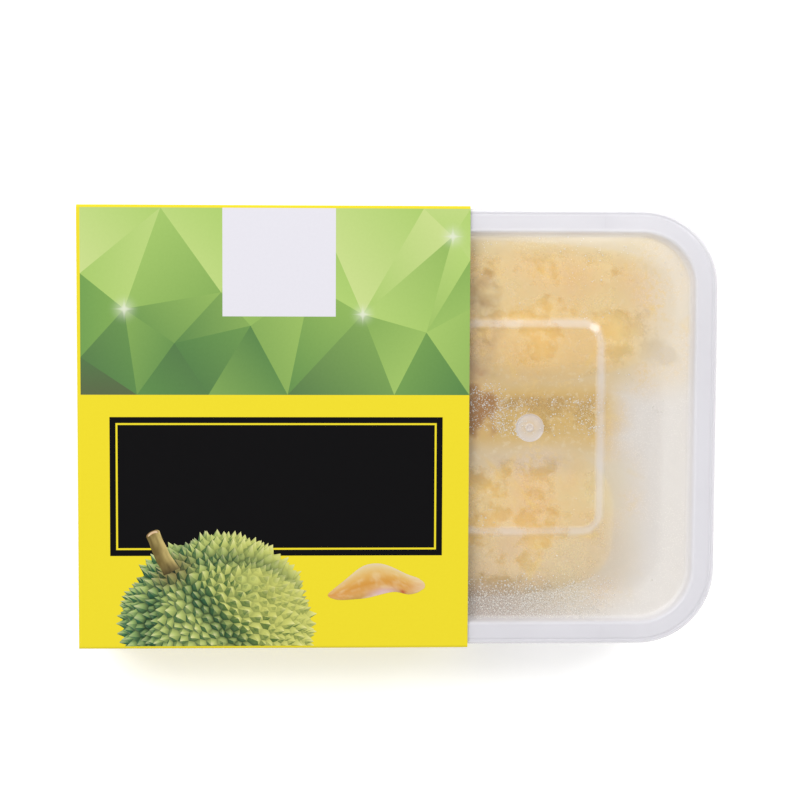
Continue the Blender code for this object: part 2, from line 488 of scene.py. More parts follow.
def make_ink(name, glints=()):
    """Varnished print: the ink attribute with paper grain; glints are (x, y, reach) on the card."""
    ink = Finish(name, Specular_IOR_Level=0.08)
    colour = ink.node("ShaderNodeVertexColor", {"layer_name": "ink"})
    mottle = ink.grain(900.0, 4.0)
    colour = ink.mix(0.10, colour, ink.mix(mottle, (0.25, 0.25, 0.25), (0.75, 0.75, 0.75)),
                     "SOFT_LIGHT")
    x, y = ink.axis("X"), ink.axis("Y")
    for centre_x, centre_y, reach in glints:
        across = (x - centre_x).size()
        along = (y - centre_y).size()
        halo = flat_length(across, along).ease(reach, 0.0) ** 2.0
        rays = ((across * along) / (reach * reach * 0.02)).ease(1.0, 0.0)
        glow = (halo * 0.55 + halo * rays * 0.4).least(1.0)
        colour = ink.mix(glow, colour, swatch(226, 232, 208))
    ink.feed("Base Color", colour)
    ink.feed("Roughness", ink.grain(260.0, 3.0) * 0.10 + 0.27)
    ink.feed("Normal", ink.bump(ink.grain(2400.0, 4.0), 0.02 * MM, 0.35))
    return ink.material


def make_board_finish():
    """Bare pulp board: grey-white, matt, with short fibres lying along the sheet."""
    board = Finish("pulp_board", Specular_IOR_Level=0.2)
    fibres = board.grain(1500.0, 5.0, 0.65, stretch=(0.25, 1.0, 1.0), warp=0.6)
    clouds = board.grain(45.0, 3.0)
    colour = board.mix(clouds.ease(0.35, 0.7), swatch(214, 211, 203), swatch(196, 192, 183))
    colour = board.mix(fibres.ease(0.55, 0.75) * 0.5, colour, swatch(168, 160, 146))
    board.feed("Base Color", colour)
    board.feed("Roughness", fibres * 0.15 + 0.78)
    board.feed("Normal", board.bump(fibres, 0.05 * MM, 0.5))
    return board.material


def lobe_nearness(finish, inner, outer):
    """1 over the lobes of flesh, falling to 0 round them between two shares of their half size."""
    near = None
    for name in LOBES:
        low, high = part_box(name)
        across = (finish.axis("X") - (low.x + high.x) / 2) / ((high.x - low.x) / 2)
        along = (finish.axis("Y") - (low.y + high.y) / 2) / ((high.y - low.y) / 2)
        reach = (across ** 4.0 + along ** 4.0) ** 0.25
        over = reach.ease(outer, inner)
        near = over if near is None else near.most(over)
    return near


ZONES = {                       # left, low, right, high and softness, in mm from the tub's middle
    "squeezed flesh": (-50, -11, 33, 20, 7.0),
    "fold": (-13, 7, 30, 13, 4.0),
    "pale band": (-30, -19, 16, -8, 6.0),
    "far brink": (-60, 66, 55, 84, 9.0),
    "haze": (46, 18, 72, 90, 13.0),
    "ripest": (-18, 18, 44, 45, 9.0),
    "ripest flesh": (-18, 18, 36, 46, 9.0),
    "dull": (-60, -64, 42, -42, 8.0),
    "dew belt": (-14, -3, 30, 12, 3.0),
    "dew gap": (-40, 0, -11, 17, 3.0),
    "dew near edge": (-60, -78, 30, -65, 7.0),
    "dew corner": (-20, 60, 40, 74, 6.0),
    "frost gap": (-40, -2, -8, 19, 4.0),
    "frost near edge": (-60, -78, 30, -66, 5.0),
}


def zone(x, y, name):
    """1 in a named zone of the tub seen from above, falling softly to 0 round it."""
    left, low, right, high, soft = (value * MM for value in ZONES[name])
    across, along = x - TUB_MIDDLE.x, y - TUB_MIDDLE.y
    inside_x = across.ease(left - soft, left + soft) * across.ease(right + soft, right - soft)
    inside_y = along.ease(low - soft, low + soft) * along.ease(high + soft, high - soft)
    return inside_x * inside_y


def tub_spot(finish, x, y, reach, wavy):
    """1 at a place in mm from the tub's middle, falling to 0 at reach, its outline wavy."""
    across = finish.axis("X") - (TUB_MIDDLE.x + x * MM)
    along = finish.axis("Y") - (TUB_MIDDLE.y + y * MM)
    distance = flat_length(across, along) + (finish.grain(70.0, 3.0) - 0.5) * wavy * MM
    return distance.ease(reach * MM, 0.3 * reach * MM)


# Brown patches of painted shade: the hollow between the lobes and the flesh beside the card, and
# two smaller darker spots.
SHADE_PATCHES = (                      # x, y, reach in mm from the tub's middle, strength, colour
    (-22.5, 9.0, 17.0, 1.0, (0.245, 0.100, 0.008)),
    (-25.0, 36.0, 15.0, 0.55, (0.44, 0.29, 0.15)),
    (-19.5, 58.0, 6.5, 0.50, (0.42, 0.25, 0.09)),
    (54.5, 31.0, 8.0, 0.34, (0.48, 0.37, 0.23)),
)
HOLLOW_SHADE = SHADE_PATCHES[0][:3]            # the deepest painted shade, in the hollow between the lobes
WAVY = 42.0                     # how far a shade patch's outline wanders, in mm


def shade_patched(finish, colour, share=1.0):
    """The colour with the brown patches of painted shade laid over it."""
    return finish.layered(colour, *(
        (tub_spot(finish, x, y, reach, WAVY) * (strength * share), painted_shade)
        for x, y, reach, strength, painted_shade in SHADE_PATCHES))


def fog_and_flesh_light(lid, clouds, smear, warmed, squeezed):
    """Colour of the damp under the lid, pale beside the flesh. Over the flesh it takes the flesh's
    warm colours and ripe specks: painted light, standing in for the flesh's light scattered through
    the fog.
    """
    x, y = lid.axis("X"), lid.axis("Y")
    ripest, pressed_flat = zone(x, y, "ripest"), squeezed.least(1.0)
    specks = lid.grain(560.0, 3.0, 0.65).ease(0.50, 0.60) * clouds.ease(0.42, 0.58)
    pale = lid.grain(430.0, 3.0, 0.65).ease(0.54, 0.64) * clouds.ease(0.56, 0.40)
    seams = lid.cells(26.0, "DISTANCE_TO_EDGE").ease(0.045, 0.005)
    seams = seams * lid.grain(70.0, 2.0).ease(0.52, 0.62) * (1 - pressed_flat)
    # Grey-brown towards the near end on the card's side: painted shade, with a frosty grey.
    grey = y.ease(TUB_MIDDLE.y - 58 * MM, TUB_MIDDLE.y - 70 * MM)
    grey = grey * x.ease(TUB_MIDDLE.x + 40 * MM, TUB_MIDDLE.x - 20 * MM)
    ripe_speck = (0.80, 0.585, 0.22)
    damp = lid.layered(
        lid.mix(clouds.ease(0.35, 0.65), (0.77, 0.64, 0.36), (0.77, 0.56, 0.32)),
        (ripest * 0.7, (0.78, 0.56, 0.25)),
        (1 - warmed, (0.72, 0.675, 0.62)),
        (zone(x, y, "far brink") * 0.9, (0.82, 0.68, 0.40)),
        (zone(x, y, "haze") * 0.75, (0.75, 0.675, 0.555)),
        (pressed_flat, (0.595, 0.395, 0.115)),
        # A darker band along the fold between the upper and middle lobes: painted shade.
        (zone(x, y, "fold") * smear, (0.50, 0.31, 0.10)),
        # Paler over the lower lobe's upper edge.
        (zone(x, y, "pale band") * clouds * 1.3, (0.70, 0.60, 0.48)),
        (specks * warmed * 0.55, ripe_speck),
        (specks * ripest * 0.80, (0.72, 0.46, 0.13)),
        (zone(x, y, "dull") * 0.55, (0.64, 0.545, 0.42)),
        (pale * warmed * 0.45, (0.80, 0.70, 0.50)),
        (seams * warmed * 0.6, ripe_speck),
        (grey * 0.85, swatch(191, 173, 160)))
    return shade_patched(lid, damp, 0.95)


def make_plastic(name, settings, fogged):
    """Milky polypropylene: clear where thin, milkier where thick, and fogged under the lid. Near
    the lobes it takes the flesh's colours, partly as painted light of the flesh, and its slopes
    glow a little, which is painted light too.
    """
    plastic = Finish(name, IOR=1.49, Emission_Strength=0.06 * fogged)
    milk = plastic.painted("milkiness")
    thin = 1 - milk
    streaks = plastic.grain(38.0, 2.0, 0.4, stretch=(1.0, 0.35, 1.0))
    alpha = milk * (settings.milky - settings.clear) + settings.clear
    alpha = alpha + (streaks - 0.5) * 0.04
    colour = plastic.mix(streaks.ease(0.3, 0.7), tuple(settings.colour),
                         tuple(c * 0.97 for c in settings.colour))
    warmed = lobe_nearness(plastic, 0.72, 1.30) * thin
    if fogged:
        clouds = plastic.grain(34.0, 4.0, 0.55)
        smear = plastic.grain(62.0, 5.0, 0.62)
        touching = smear.ease(0.48, 0.60) * lobe_nearness(plastic, 0.60, 0.92)
        fine = plastic.cells(1500.0).ease(0.42, 0.12) * clouds.ease(0.40, 0.62)
        veil = (1 - touching * 0.85) * (clouds * 0.5 + 0.75) + fine * 0.35
        x, y = plastic.axis("X"), plastic.axis("Y")
        squeezed = zone(x, y, "squeezed flesh") * (smear * 0.5 + 0.7)
        # The hollow's painted shade is made more opaque on the lid.
        cover = veil * settings.fog + squeezed * 0.34 + tub_spot(plastic, *HOLLOW_SHADE, WAVY) * 0.62
        cover = cover + zone(x, y, "haze") * 0.26 + (1 - warmed) * 0.10
        alpha = alpha + cover * thin
        damp = fog_and_flesh_light(plastic, clouds, smear, warmed, squeezed)
        colour = plastic.mix(thin * 0.94, colour, damp)
        # The slopes between milky and clear plastic glow a little: painted light, standing in for
        # light scattered inside the milky plastic.
        glowing_slopes = (milk * thin * 4).ease(0.0, 0.6)
        plastic.feed("Emission Color", plastic.mix(glowing_slopes, (0.0, 0.0, 0.0), (1.0, 0.98, 0.96)))
    else:
        # Cream smears near the lobes: juice, and painted light standing in for the flesh's light
        # scattered in the tub's walls.
        juice_and_flesh_light = warmed * plastic.grain(30.0, 3.0, 0.5).ease(0.30, 0.60)
        colour = plastic.mix(juice_and_flesh_light, colour, (0.76, 0.62, 0.36))
        alpha = alpha + juice_and_flesh_light * 0.5
    plastic.feed("Base Color", colour)
    plastic.feed("Alpha", alpha.most(0.03).least(0.97))
    plastic.feed("Roughness", plastic.grain(110.0, 2.0) * 0.08 + 0.09)
    plastic.feed("Normal", plastic.bump(plastic.grain(26.0, 1.0), 0.3 * MM, 0.08))
    return plastic.material


def make_flesh(name, settings, seed):
    """Ripe durian flesh: cream to amber, with pale fat and fine damp grain. Its darker creases,
    brown patches and grey-brown near end are painted shade; its paler lower sides are a painted
    veil of light.
    """
    flesh = Finish(name, IOR=1.42, Subsurface_Weight=0.10)
    flesh.shader.inputs["Subsurface Radius"].default_value = (0.006, 0.003, 0.001)
    cream, amber = tuple(settings.cream), tuple(settings.amber)
    shift = (seed * 0.37, seed * 0.11, seed * 0.53)
    patches = flesh.grain(26.0, 4.0, 0.55, shift=shift)
    veins = flesh.grain(95.0, 5.0, 0.6, warp=1.2, shift=shift)
    ripest = zone(flesh.axis("X"), flesh.axis("Y"), "ripest flesh")
    line = (veins - 0.5).size().ease(0.030, 0.0) * patches.ease(0.38, 0.52)
    # Paler down the lobes' sides, where they lie deeper below the lid: a painted veil of light,
    # standing in for light scattered by the milky lid.
    sides = flesh.axis("Z").ease(LOBE_TOP_LEVEL - 3.0 * MM, LOBE_TOP_LEVEL - 16.0 * MM)
    # Grey-brown towards the near end: painted shade, with a frosty grey.
    edge = flesh.axis("Y").ease(TUB_MIDDLE.y - 56 * MM, TUB_MIDDLE.y - 69 * MM)
    colour = flesh.layered(
        flesh.mix(patches.ease(0.36, 0.68), cream, amber),
        (patches.ease(0.60, 0.76) * 0.5, (0.78, 0.54, 0.28)),
        (patches.ease(0.42, 0.26) * 0.6, (0.80, 0.71, 0.36)),
        (ripest * 0.65, (0.80, 0.49, 0.13)),
        (line * 0.6, (0.74, 0.46, 0.07)),
        # Darker in the creases: painted shade.
        (flesh.painted("crease") * 0.35, (0.68, 0.40, 0.11)),
        (flesh.cells(420.0).ease(0.30, 0.08) * 0.25, (0.84, 0.76, 0.50)),
        (sides * 0.65, (0.80, 0.71, 0.54)))
    # Painted shade laid on last: the brown patches, then the grey-brown near end.
    colour = flesh.mix(edge * 0.7, shade_patched(flesh, colour), swatch(186, 158, 130))
    flesh.feed("Base Color", colour)
    flesh.feed("Roughness", veins * 0.25 + 0.32)
    fine = flesh.grain(900.0, 4.0, 0.6)
    under = flesh.bump(veins, 0.5 * MM, 0.35)
    flesh.feed("Normal", flesh.bump(fine, 0.10 * MM, 0.4, under=under))
    return flesh.material


def make_ice(name, alpha, roughness):
    """Water or ice in small beads: bright, nearly clear, with cloudy hearts."""
    ice = Finish(name, IOR=1.33)
    cloud = ice.grain(2600.0, 3.0)
    ice.feed("Base Color", ice.mix(cloud, (0.88, 0.84, 0.77), (0.78, 0.75, 0.70)))
    ice.feed("Alpha", cloud * 0.25 + alpha)
    ice.feed("Roughness", cloud * 0.1 + roughness)
    return ice.material


# ---- Card sleeve ----

FOLD_STEPS = 6                  # faces round each fold of the card


def sleeve_section(inset, radius):
    """The sleeve's outline as (y, z), drawn in by inset from the solid's outside."""
    half_y = (SLEEVE_HIGH.y - SLEEVE_LOW.y) / 2 - inset
    half_z = (SLEEVE_HIGH.z - SLEEVE_LOW.z) / 2 - inset
    middle_z = (SLEEVE_HIGH.z + SLEEVE_LOW.z) / 2
    return [(y, z + middle_z) for y, z in rounded_outline(half_y, half_z, radius, FOLD_STEPS)]


def make_board(sleeve):
    """The folded sheet itself, with its glued flap inside one side wall."""
    material = make_board_finish()
    outer = sleeve_section(sleeve.film + 0.01 * MM, sleeve.fold - sleeve.film)
    inner = sleeve_section(sleeve.board, sleeve.fold - sleeve.board)
    wall_y = SLEEVE_LOW.y + sleeve.board
    flap_low = SLEEVE_LOW.z + sleeve.board + 1.2 * MM
    flap_high = flap_low + sleeve.flap
    chamfer = 0.15 * MM
    flap = [(wall_y, flap_high), (wall_y + sleeve.board - chamfer, flap_high - chamfer),
            (wall_y + sleeve.board, flap_high - 3 * chamfer),
            (wall_y + sleeve.board, flap_low + chamfer), (wall_y, flap_low)]
    before_flap = len(inner) // 2
    inner = inner[:before_flap] + flap + inner[before_flap:]
    form = bmesh.new()
    ends = []
    for section in (outer, inner):
        rings = [[form.verts.new((x, y, z)) for y, z in section]
                 for x in (SLEEVE_LOW.x, SLEEVE_HIGH.x)]
        skin_rings(form, rings)
        ends.append(rings)
    for i in range(2):
        edges = [form.edges.get((rings[i][k], rings[i][k - 1]))
                 for rings in ends for k in range(len(rings[i]))]
        bmesh.ops.triangle_fill(form, use_beauty=True, use_dissolve=False, edges=edges)
    board = finished("sleeve_board", form, material, "sleeve")
    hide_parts("card_sleeve")


class CardLayout:
    """The front of the card in millimetres: across from the closed edge, up from the near fold.

    Regions are painted in order as (left, low, right, high, colour), the last on top.
    """

    def __init__(self, sleeve, print_settings):
        self.width = (SLEEVE_HIGH.x - SLEEVE_LOW.x) / MM
        self.height = (SLEEVE_HIGH.y - SLEEVE_LOW.y) / MM
        self.fold = sleeve.fold / MM
        self.low, self.high = self.fold, self.height - self.fold
        width, height = self.width, self.height
        yellow, black = tuple(print_settings.yellow), tuple(print_settings.black)
        self.yellow = yellow
        self.band = (0.0085 * width, 0.576 * height, width, self.high)
        self.label = (0.369 * width, 0.752 * height, 0.657 * width, self.high)
        self.panel = (0.081 * width, 0.212 * height, 0.932 * width, 0.526 * height)
        line = 0.75
        rule = self.grown(self.panel, -2.4)
        self.regions = [
            ((0.0, self.low, width, self.high), yellow),
            (self.label, tuple(print_settings.white)),
            (self.panel, black),
            (rule, yellow),
            (self.grown(rule, -line), black),
        ]

    @staticmethod
    def grown(region, by):
        left, low, right, high = region
        return (left - by, low - by, right + by, high + by)

    @staticmethod
    def corners(region):
        left, low, right, high = region
        return [Vector(p) for p in ((left, low), (right, low), (right, high), (left, high))]

    @staticmethod
    def holds(region, point):
        left, low, right, high = region
        return left < point.x < right and low < point.y < high

    def place(self, point, height=0.0):
        """A point of the layout, in metres on the card's front, height above the card."""
        return Vector((SLEEVE_LOW.x + point[0] * MM, SLEEVE_LOW.y + point[1] * MM,
                       SLEEVE_HIGH.z + height))


LEAF_STOPS = (
    (0.00, swatch(98, 88, 72)), (0.12, swatch(88, 116, 76)), (0.28, swatch(96, 138, 78)),
    (0.50, swatch(148, 183, 95)), (0.74, swatch(178, 209, 114)), (1.00, swatch(210, 223, 150)),
)
LEAF_DEEP = swatch(78, 146, 70)     # the purer green that some facets lean towards
GLINTS = ((0.120, 0.768, 8.0), (0.726, 0.757, 7.0), (0.955, 0.932, 7.5))  # across, up, reach


def make_facets(layout, seed):
    """Large flat triangles over the band, pale at the top and deep towards one lower corner."""
    pick = Random(seed)
    left, low, right, high = layout.band
    columns, rows = 5, 3
    points, inner = [], []
    for row in range(rows + 1):
        for column in range(columns + 1):
            inner_x, inner_y = 0 < column < columns, 0 < row < rows
            stagger = 0.30 if row % 2 else -0.12
            across = (column + (stagger + pick.uniform(-0.30, 0.30)) * inner_x) / columns
            up = (row + pick.uniform(-0.42, 0.42) * inner_y) / rows
            points.append(Vector((left + (right - left) * across, low + (high - low) * up)))
            if inner_x and inner_y:
                inner.append(points[-1])
    for x, y, _ in GLINTS:
        goal = Vector((x * layout.width, y * layout.height))
        min(inner, key=lambda corner: (corner - goal).length)[:] = goal
    corners, _, faces, *_ = delaunay_2d_cdt(points, [], [], 0, 1e-5)
    facets = []
    for face in faces:
        triangle = [Vector(corners[i]) for i in face]
        centre = sum(triangle, Vector((0, 0))) / 3
        across, up = (centre.x - left) / (right - left), (centre.y - low) / (high - low)
        tone = 0.07 + 0.88 * up ** 1.1 + 0.34 * across * (1 - up) + pick.uniform(-0.09, 0.09)
        lean = Vector((pick.uniform(-1, 1), pick.uniform(-1, 1))).normalized()
        depth = pick.uniform(0.0, 0.3) * (1 - abs(2 * tone - 0.8))
        facets.append((triangle, centre, min(max(tone, 0.0), 1.0), lean, depth))
    return facets


def glint_spots(layout):
    """The facet corners that carry a star of light: (x, y, reach) on the card, in metres."""
    return [(*layout.place((x * layout.width, y * layout.height)).xy, reach * MM)
            for x, y, reach in GLINTS]


def inside_triangle(point, triangle):
    """Whether a point lies in a triangle, whichever way round its corners go."""
    turns = [(b - a).cross(point - a) for a, b in zip(triangle, triangle[1:] + triangle[:1])]
    return all(turn >= 0 for turn in turns) or all(turn <= 0 for turn in turns)


def ink_at(layout, facets, centre, corner):
    """The print's colour at a corner of a small face whose middle is centre."""
    colour = layout.yellow
    if layout.holds(layout.band, centre):
        for triangle, middle, tone, lean, depth in facets:
            if inside_triangle(centre, triangle):
                colour = ramped(LEAF_STOPS, tone + 0.11 * (corner - middle).dot(lean) / 20.0)
                colour = blended(colour, LEAF_DEEP, max(depth, 0.0))
                break
    for region, ink in layout.regions[1:]:
        if layout.holds(region, centre):
            colour = ink
    return colour


def make_front(layout, sleeve, facets, material):
    """The printed face of the card, a thin film whose regions are cut into the mesh."""
    outlines = [layout.corners(region) for region, _ in layout.regions]
    outlines += [layout.corners(layout.band)] + [triangle for triangle, *_ in facets]
    points, edges = [], []
    for outline in outlines:
        start = len(points)
        points += outline
        edges += [(start + i, start + (i + 1) % len(outline)) for i in range(len(outline))]
    corners, _, faces, *_ = delaunay_2d_cdt(points, edges, [], 0, 1e-4)
    form = bmesh.new()
    ink = form.loops.layers.float_color.new("ink")
    top, under = ([form.verts.new(layout.place(corner, height)) for corner in corners]
                  for height in (0.0, -sleeve.film))
    steps = {(face[k - 1], face[k]) for face in faces for k in range(len(face))}
    for face in faces:
        centre = sum((Vector(corners[i]) for i in face), Vector((0, 0))) / len(face)
        shades = {i: (*ink_at(layout, facets, centre, Vector(corners[i])), 1.0) for i in face}
        sides = [[(top, i) for i in face], [(under, i) for i in reversed(face)]]
        for a, b in zip(face[-1:] + face[:-1], face):
            if (b, a) not in steps:        # an outer edge of the film
                sides.append([(top, b), (top, a), (under, a), (under, b)])
        for side in sides:
            made = form.faces.new([verts[i] for verts, i in side])
            for loop, (_, i) in zip(made.loops, side):
                loop[ink] = shades[i]
    finished("print_front", form, material, "sleeve")


def make_wrap(layout, sleeve, material):
    """The print over the folds, the sides and the back: one film from edge to edge."""
    outer = sleeve_section(0.0, sleeve.fold)
    inner = sleeve_section(sleeve.film, sleeve.fold - sleeve.film)
    start = len(outer) // 4 - 1        # the last point of the first corner's arc, on the front
    order = [(start - k) % len(outer) for k in range(len(outer))]
    count = len(order)
    strip = [outer[i] for i in order]
    lining = [inner[i] for i in order]
    form = bmesh.new()
    section = strip + lining[::-1]
    rings = [[form.verts.new((x, y, z)) for y, z in section]
             for x in (SLEEVE_LOW.x, SLEEVE_HIGH.x)]
    skin_rings(form, rings)
    for ring in rings:
        for k in range(count - 1):
            form.faces.new((ring[k], ring[k + 1], ring[2 * count - 2 - k],
                            ring[2 * count - 1 - k]))
    inked(form, lambda loop: layout.yellow)
    finished("print_wrap", form, material, "sleeve")


# ---- Pictures on the card: solid models pressed flat into coloured relief ----

RELIEF = 0.10 * MM              # how thick a pressed picture is
RELIEF_LIFT = 0.02 * MM         # its underside stands this much off the card
GOLDEN_ANGLE = pi * (3 - sqrt(5))
THORN_SEED = 3
THORN_SHAKE = 0.042             # how far a thorn stands from its regular place, on a unit ball


def thorny_ball():
    """A ball of radius 1 covered in thorns, each raised on one cell of a scattered pattern."""
    tree = Growth("thorny_ball")
    count = tree.input("Thorns", "Int")
    length = tree.input("Thorn Length")
    seed = tree.input("Seed", "Int")
    line = tree.node("GeometryNodeMeshLine", None, {"Count": count})
    index = tree.node("GeometryNodeInputIndex")
    height = 1 - (index * 2 + 1) / count
    ring = (1 - height * height) ** 0.5
    turn = index * GOLDEN_ANGLE
    spot = tree.node("ShaderNodeCombineXYZ", None, {
        "X": ring * turn.maths("COSINE", turn), "Y": ring * turn.maths("SINE", turn),
        "Z": height})
    shake = tree.draw((-THORN_SHAKE,) * 3, (THORN_SHAKE,) * 3, seed)
    spot = tree.node("ShaderNodeVectorMath", {"operation": "ADD"}, {0: spot, 1: shake})
    spot = tree.node("ShaderNodeVectorMath", {"operation": "NORMALIZE"}, {0: spot})
    line = tree.node("GeometryNodeSetPosition", None, {"Geometry": line, "Position": spot})
    hull = tree.node("GeometryNodeConvexHull", None, {"Geometry": line})
    cells = tree.node("GeometryNodeDualMesh", None, {"Mesh": hull})
    growth = tree.draw(0.55, 1.0, seed)
    top = True
    for rise, waist in ((0.36, 0.56), (0.64, 0.05)):
        extruded = tree.node("GeometryNodeExtrudeMesh", {"mode": "FACES"}, {
            "Mesh": cells, "Selection": top, "Offset Scale": length * growth * rise})
        top = Wire(tree, extruded.socket.node.outputs["Top"])
        cells = tree.node("GeometryNodeScaleElements", {"domain": "FACE"}, {
            "Geometry": extruded, "Selection": top, "Scale": waist})
    tree.end(cells, None)
    return tree


FRUIT_LIGHT = Vector((0.66, 0.52, 0.54)).normalized()
FRUIT_POLE = Vector((-0.49, 0.62, 0.61)).normalized()    # where the stalk grows
FURROWS = 5                     # seams between the fruit's segments
FURROW_CUT = 0.07               # how deep a seam lies, as a share of the fruit's radius
FRUIT_RADII = Vector((36.9, 34.6, 36.0))      # across, up and out of the card, in millimetres
FRUIT_PLACE = (0.355, 0.058)    # its middle, as shares of the card's width and height


def furrow_depth(point):
    """How deep a point of the unit ball lies in a furrow that runs down from the stalk, 0 to 1."""
    aside = FRUIT_POLE.orthogonal().normalized()
    beside = FRUIT_POLE.cross(aside)
    turn = atan2(point.dot(beside), point.dot(aside)) / (2 * pi) * FURROWS + 0.37
    offset = abs(turn - round(turn)) / FURROWS * 2 * pi
    away = sqrt(max(0.0, 1 - point.dot(FRUIT_POLE) ** 2))
    return max(0.0, 1 - (offset * away / 0.17) ** 2) * min(1.0, away * 2.0)


def fruit_colour(point, normal, height, furrow):
    """Colour of the pictured fruit at a point of its unit ball, height up the thorn from 0 to 1."""
    ripe = 0.5 + 0.62 * point.dot(Vector((0.86, 0.16, 0.30))) - 0.45 * furrow
    ripe += 0.18 * noise.noise(point * 3.1)
    lit = normal.dot(FRUIT_LIGHT) + 0.20 * noise.noise(point * 14)
    shade = blended(swatch(50, 100, 70), swatch(94, 118, 56), ripe)
    flank = blended(swatch(152, 182, 110), swatch(206, 208, 112), ripe)
    base = blended(shade, flank, (lit + 0.12) / 0.75)
    tip = blended(swatch(226, 224, 176), swatch(246, 240, 168), ripe)
    base = blended(base, tip, (height - 0.55) * 1.5 * (0.35 + lit))
    hollow = max(0.0, 1 - height / 0.22) * (0.62 - 0.42 * ripe)
    base = blended(base, swatch(34, 54, 34), hollow + 0.35 * furrow)
    near_stalk = max(0.0, 1 - (point - FRUIT_POLE).length / 0.30)
    bark = blended(swatch(30, 26, 26), swatch(138, 116, 76), lit * 0.9)
    return blended(base, bark, 0.95 * near_stalk ** 0.7)


def pressed(form, layout, middle, depth):
    """Presses a model in layout millimetres flat on to the card, its depth scaled to the relief."""
    for vert in form.verts:
        share = vert.co.z / depth
        vert.co = layout.place((middle[0] + vert.co.x, middle[1] + vert.co.y),
                               RELIEF_LIFT + RELIEF * share)


def cut_flat(form, point, normal):
    """Cuts a model by a plane, drops what lies behind it and closes the cut."""
    cut = bmesh.ops.bisect_plane(form, geom=form.verts[:] + form.edges[:] + form.faces[:],
                                 dist=1e-5, plane_co=point, plane_no=normal, clear_inner=True)
    rim = [item for item in cut["geom_cut"] if isinstance(item, bmesh.types.BMEdge)]
    bmesh.ops.holes_fill(form, edges=[edge for edge in rim if edge.is_boundary], sides=0)


def make_pictured_fruit(layout, print_settings, material):
    """The whole durian printed in the lower corner, cut off by the fold."""
    tree = thorny_ball()
    host = bpy.data.meshes.new("thorny_ball_host")
    mesh = tree.grown(host, Thorns=print_settings.thorns,
                      Thorn_Length=print_settings.thorn_length, Seed=THORN_SEED)
    middle = (FRUIT_PLACE[0] * layout.width, FRUIT_PLACE[1] * layout.height)
    upright = Vector((0, 0, 1)).rotation_difference(FRUIT_POLE)
    form = bmesh.new()
    form.from_mesh(mesh)
    bmesh.ops.rotate(form, verts=form.verts, cent=(0, 0, 0), matrix=upright.to_matrix())
    furrows = {vert: furrow_depth(vert.co.normalized()) for vert in form.verts}
    for vert in form.verts:
        vert.co *= 1 - FURROW_CUT * furrows[vert]
    form.normal_update()

    def shade(loop):
        reach, furrow = loop.vert.co.length, furrows[loop.vert]
        height = (reach / (1 - FURROW_CUT * furrow) - 1) / print_settings.thorn_length
        height = min(max(height * 1.2, 0.0), 1.0)
        return fruit_colour(loop.vert.co / reach, loop.face.normal, height, furrow)

    inked(form, shade)
    for vert in form.verts:
        vert.co = Vector(a * b for a, b in zip(vert.co, FRUIT_RADII))
    cut_flat(form, (0, 0, 0), (0, 0, 1))
    cut_flat(form, (0, layout.low + 0.05 - middle[1], 0), (0, 1, 0))
    pressed(form, layout, middle, FRUIT_RADII.z * (1 + print_settings.thorn_length))
    finished("print_fruit", form, material, "sleeve", sharp=radians(1))


def lofted(rings, shade):
    """A form skinned through rings of (position, key); shade gives the ink's colour from a key."""
    form = bmesh.new()
    made = [[form.verts.new(position) for position, _ in ring] for ring in rings]
    keys = {vert: key for verts, ring in zip(made, rings)
            for vert, (_, key) in zip(verts, ring)}
    skin_rings(form, made, capped=True)
    inked(form, lambda loop: shade(keys[loop.vert]))
    return form


def make_pictured_stalk(layout, material):
    """The cut stalk of the pictured fruit, pale wood with a lighter end and a bark ring."""
    foot = Vector((0.238 * layout.width, 0.176 * layout.height))
    head = Vector((0.190 * layout.width, 0.262 * layout.height))
    along = (head - foot).normalized()
    across = Vector((-along.y, along.x))
    stations, sides = 16, 20
    rings = []
    for k in range(stations + 4):
        share = min(k / stations, 1.0)
        past = k - stations
        half = 3.3 - 0.6 * share + 0.9 * max(0.0, 0.2 - share) + 1.2 * max(0.0, share - 0.85)
        if past > 0:
            half *= (0.80, 0.62, 0.08)[past - 1]
        middle = foot.lerp(head, share) + across * 0.5 * sin(share * pi)
        ring = []
        for side in range(sides):
            angle = 2 * pi * side / sides
            knot = 1 + 0.07 * noise.noise(Vector((cos(angle), sin(angle), share * 4)))
            flat = middle + across * half * knot * cos(angle)
            flat += along * half * 0.42 * sin(angle) * share
            lift = 20.0 + half * sin(angle) + share * 12.0 + 2.0 * (past > 0)
            ring.append(((flat.x, flat.y, lift), (share, angle, past)))
        rings.append(ring)

    def shade(key):
        share, angle, past = key
        if past > 0:
            return (swatch(150, 116, 82), swatch(232, 206, 168), swatch(206, 164, 124))[past - 1]
        light = 0.5 + 0.5 * cos(angle - 3.6)
        streak = noise.noise(Vector((cos(angle) * 5, share * 5, 1.7)))
        wood = blended(swatch(108, 92, 50), swatch(212, 190, 122), light + streak * 0.35)
        return blended(swatch(50, 42, 30), wood, 0.25 + share * 3.0)

    form = lofted(rings, shade)
    pressed(form, layout, (0.0, 0.0), 36.0)
    finished("print_stalk", form, material, "sleeve", sharp=radians(60))


# The pictured lobe's upper and lower outline: share of its length, and millimetres up from its foot
LOBE_TOP = ((0.0, 2.0), (0.01, 3.0), (0.04, 4.0), (0.10, 5.7), (0.24, 10.3), (0.34, 13.6),
            (0.42, 14.7), (0.52, 15.0), (0.60, 14.4), (0.72, 12.3), (0.84, 9.9), (0.91, 9.3),
            (0.96, 8.5), (0.985, 7.5), (0.997, 6.6), (1.0, 5.8))
LOBE_FOOT = ((0.0, 2.0), (0.02, 0.9), (0.05, 0.4), (0.14, 0.0), (0.38, 0.7), (0.47, 1.5),
             (0.60, 2.9), (0.70, 3.6), (0.75, 3.2), (0.78, 2.2), (0.87, 2.3), (0.92, 2.9),
             (0.98, 4.0), (0.997, 5.0), (1.0, 5.8))


